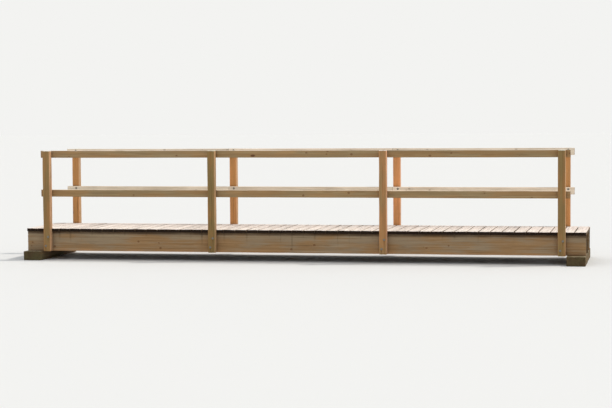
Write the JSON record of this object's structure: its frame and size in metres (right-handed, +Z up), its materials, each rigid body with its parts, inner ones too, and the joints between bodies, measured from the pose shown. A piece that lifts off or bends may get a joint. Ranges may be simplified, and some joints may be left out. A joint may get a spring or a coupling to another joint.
{
  "type": "wooden footbridge",
  "caption": "Straight timber beam footbridge with a crosswise board deck, square side posts, handrails and mid rails, resting on bank sills.",
  "frame": {"origin": "on the ground under the middle of the bridge: the centre of the bounding box's bottom face", "axes": "+X along the bridge, to the right seen from its front side; +Y across it, from the front side to the back side; +Z up"},
  "size_m": [7.84, 1.5, 1.54],
  "materials": {
    "beam_timber": "weathered sawn softwood",
    "cross_timber": "weathered sawn softwood, shaded",
    "sill_timber": "dark treated softwood",
    "post_timber": "weathered planed softwood",
    "rail_timber": "weathered planed softwood, bleached on top",
    "deck_timber": "bleached sawn softwood boards",
    "fixing_steel": "dull galvanised, for the bolts and screws that only the looks show"
  },
  "bodies": {
    "root": {"front_beam": "beam_timber", "back_beam": "beam_timber", "middle_beam": "beam_timber", "cross_pieces_1": "cross_timber", "cross_pieces_2": "cross_timber", "cross_pieces_3": "cross_timber", "cross_pieces_4": "cross_timber", "left_bank_sill": "sill_timber", "right_bank_sill": "sill_timber", "front_post_1": "post_timber", "front_post_2": "post_timber", "front_post_3": "post_timber", "front_post_4": "post_timber", "back_post_1": "post_timber", "back_post_2": "post_timber", "back_post_3": "post_timber", "back_post_4": "post_timber", "front_handrail_left": "rail_timber", "front_handrail_middle": "rail_timber", "front_handrail_right": "rail_timber", "back_handrail_left": "rail_timber", "back_handrail_middle": "rail_timber", "back_handrail_right": "rail_timber", "front_mid_rail_left": "rail_timber", "front_mid_rail_middle": "rail_timber", "front_mid_rail_right": "rail_timber", "back_mid_rail_left": "rail_timber", "back_mid_rail_middle": "rail_timber", "back_mid_rail_right": "rail_timber", "deck_boards_1": "deck_timber", "deck_boards_2": "deck_timber", "deck_boards_3": "deck_timber", "deck_boards_4": "deck_timber", "deck_boards_5": "deck_timber", "deck_boards_6": "deck_timber", "deck_boards_7": "deck_timber"}
  },
  "joints": []
}
